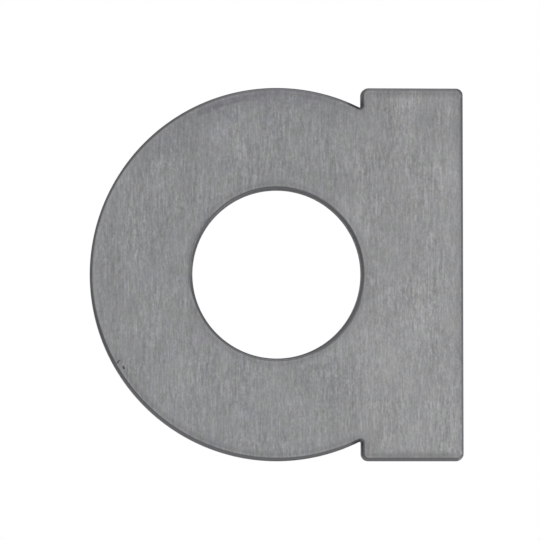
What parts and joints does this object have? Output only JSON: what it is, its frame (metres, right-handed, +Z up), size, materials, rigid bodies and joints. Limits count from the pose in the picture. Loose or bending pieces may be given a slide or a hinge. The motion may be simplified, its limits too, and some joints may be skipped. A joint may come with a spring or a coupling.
{
  "type": "house letter",
  "caption": "Flat lower-case house letter a with a round bowl, round counter and straight stem, in thick brushed steel plate, fixed to a wall from behind.",
  "frame": {"origin": "centre of the bowl and of the counter, on the back face, halfway between the two stud holes", "axes": "+Z up as the letter reads, +X to the right seen from the front, +Y out of the back face towards the wall, so the front looks along -Y"},
  "size_m": [0.1104, 0.005, 0.1104],
  "materials": {
    "brushed_plate": "front face brushed upright, edges rounded and matt, cut side walls darker"
  },
  "bodies": {
    "root": {"letter": "brushed_plate"}
  },
  "joints": []
}
